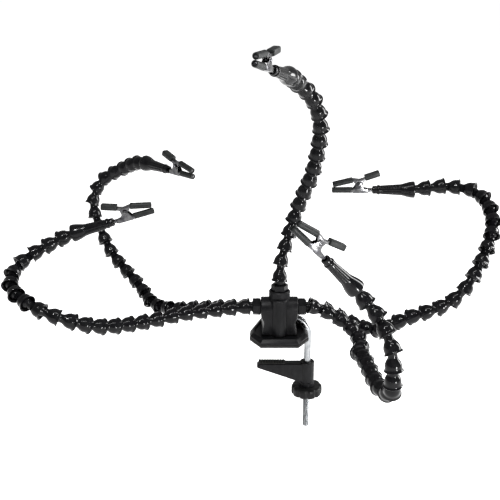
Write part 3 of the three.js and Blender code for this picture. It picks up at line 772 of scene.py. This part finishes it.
def rivet_shape():
    """Pin across both halves of the clip, with a domed head at each end."""
    half = 3.3
    head = [(0.6, -half - 1.0), (1.4, -half - 0.75), (1.8, -half - 0.25), (1.8, -half - 0.02),
            (1, -half), (1, half), (1.8, half + 0.02), (1.8, half + 0.25), (1.4, half + 0.75),
            (0.6, half + 1.0)]
    turn = Matrix.Translation((0, CLIP_PIVOT_UP, CLIP_PIVOT_ALONG)) @ ALONG_X
    return moved(turned(head, 24), turn)


def boot_shape():
    """Open rubber sleeve about Z, a little wider at its mouth."""
    end = BOOT_LENGTH
    wall = [(2.15, 0.1), (2.9, 0), (3.2, 0.35), (3.2, 2), (3.1, end - 2), (3.05, end - 0.4),
            (2.8, end), (2.1, end - 0.1)]
    return turned(wall, 32, ring=True)


def build_clip(name, place):
    """Both halves of the clip, its grip, rivet, spring and two boots."""
    lower = Matrix.Translation((0, 0, BOOT_START))
    clip, lever = f"{name}_clip", f"{name}_clip_lever"
    piece(f"{name}_clip_base", moved(clip_base_shape(), place), "clip_steel", clip,
          [f"{name}_clip_body"], bevel=0.18)
    piece(f"{name}_clip_top", moved(clip_lever_shape(), place), "clip_steel", lever,
          [f"{name}_clip_lever"], bevel=0.18)
    piece(f"{name}_clip_grip", moved(grip_shape(), place), "clip_rubber", lever, sharp=50)
    piece(f"{name}_clip_rivet", moved(rivet_shape(), place), "clip_steel", clip,
          [f"{name}_clip_pin"])
    piece(f"{name}_clip_spring", moved(spring_shape(), place), "clip_steel", clip, sharp=60)
    piece(f"{name}_lower_boot", moved(boot_shape(), place @ lower), "clip_rubber", clip,
          [f"{name}_fixed_jaw_sleeve"], sharp=50)
    piece(f"{name}_upper_boot", moved(boot_shape(), place @ UPPER_JAW_PLACE), "clip_rubber", lever,
          [f"{name}_moving_jaw_sleeve"], sharp=50)


def build_arm(name, links, port, route):
    """Connector, link chains, nozzle and clip of one arm, along its route."""
    centres = ball_centres(route, links)
    headings = [(b - a).normalized() for a, b in zip(centres, centres[1:])]
    piece(f"{name}_hex_connector", moved(connector_shape(), frame_along(centres[0], Vector(port))),
          "connector_plastic", "hub", [f"{name}_connector"], sharp=28)
    ends = [math.floor(links * g / LINK_GROUPS + 0.5) for g in range(LINK_GROUPS + 1)]
    link = link_shape()
    for g, body in enumerate(("lower_arm", "middle_arm", "upper_arm")):
        chain = [moved(link, frame_along(centres[i], headings[i]))
                 for i in range(ends[g], ends[g + 1])]
        piece(f"{name}_link_chain_{g + 1}", joined(chain), "arm_plastic", f"{name}_{body}",
              [f"{name}_links_{g + 1}"], sharp=50)
    place = frame_along(centres[links], headings[links])
    piece(f"{name}_nozzle_tube", moved(nozzle_shape(), place), "arm_plastic",
          f"{name}_nozzle", [f"{name}_nozzle"], sharp=40)
    build_clip(name, clip_frame(centres[links + 1], headings[links]))


# ---- camera, lights, floor ----------------------------------------------------------------
def build_camera():
    data = bpy.data.cameras.new("camera")
    data.sensor_width = CAMERA_SENSOR
    data.lens = CAMERA_LENS
    camera = bpy.data.objects.new("camera", data)
    bpy.context.scene.collection.objects.link(camera)
    elevation = math.radians(CAMERA_ELEVATION)
    away = Vector((0, -math.cos(elevation), math.sin(elevation)))
    camera.location = Vector(CAMERA_TARGET) + CAMERA_DISTANCE * away
    camera.rotation_euler = (-away).to_track_quat("-Z", "Y").to_euler()
    bpy.context.scene.camera = camera


def add_light(name, place, target, width, height, power):
    data = bpy.data.lights.new(name, "AREA")
    data.shape = "RECTANGLE"
    data.size, data.size_y = width, height
    data.energy = power
    light = bpy.data.objects.new(name, data)
    bpy.context.scene.collection.objects.link(light)
    light.location = place
    light.rotation_euler = (Vector(target) - Vector(place)).to_track_quat("-Z", "Y").to_euler()


def build_studio():
    scene = bpy.context.scene
    scene.view_settings.view_transform = "Standard"
    world = bpy.data.worlds.new("studio")
    world.use_nodes = True
    sky = world.node_tree.nodes["Background"]
    sky.inputs["Color"].default_value = WHITE
    sky.inputs["Strength"].default_value = SKY_STRENGTH
    scene.world = world
    for light in LIGHTS:
        add_light(*light)
    floor_z = cad_box[0][2] - FLOOR_GAP
    bpy.ops.mesh.primitive_plane_add(size=FLOOR_SIZE, location=(0, 0, floor_z))
    floor = bpy.context.object
    floor.name = "floor"
    material, nodes, links, shader, place = new_material("floor")
    cloud = noise(nodes, links, place, 3, 2)
    pale = tint(nodes, links, cloud, (0.93, 0.93, 0.93), (0.95, 0.95, 0.95))
    links.new(pale, shader.inputs["Base Color"])
    shader.inputs["Roughness"].default_value = 0.9
    shader.inputs["Specular IOR Level"].default_value = 0.1
    shader.inputs["Emission Color"].default_value = WHITE
    shader.inputs["Emission Strength"].default_value = FLOOR_GLOW
    floor.data.materials.append(material)


build_camera()
build_hub()
build_foot()
build_rod()
build_jaw()
build_knob()
for arm_name, (arm_links, arm_port, arm_route) in ARMS.items():
    build_arm(arm_name, arm_links, arm_port, arm_route)
build_studio()
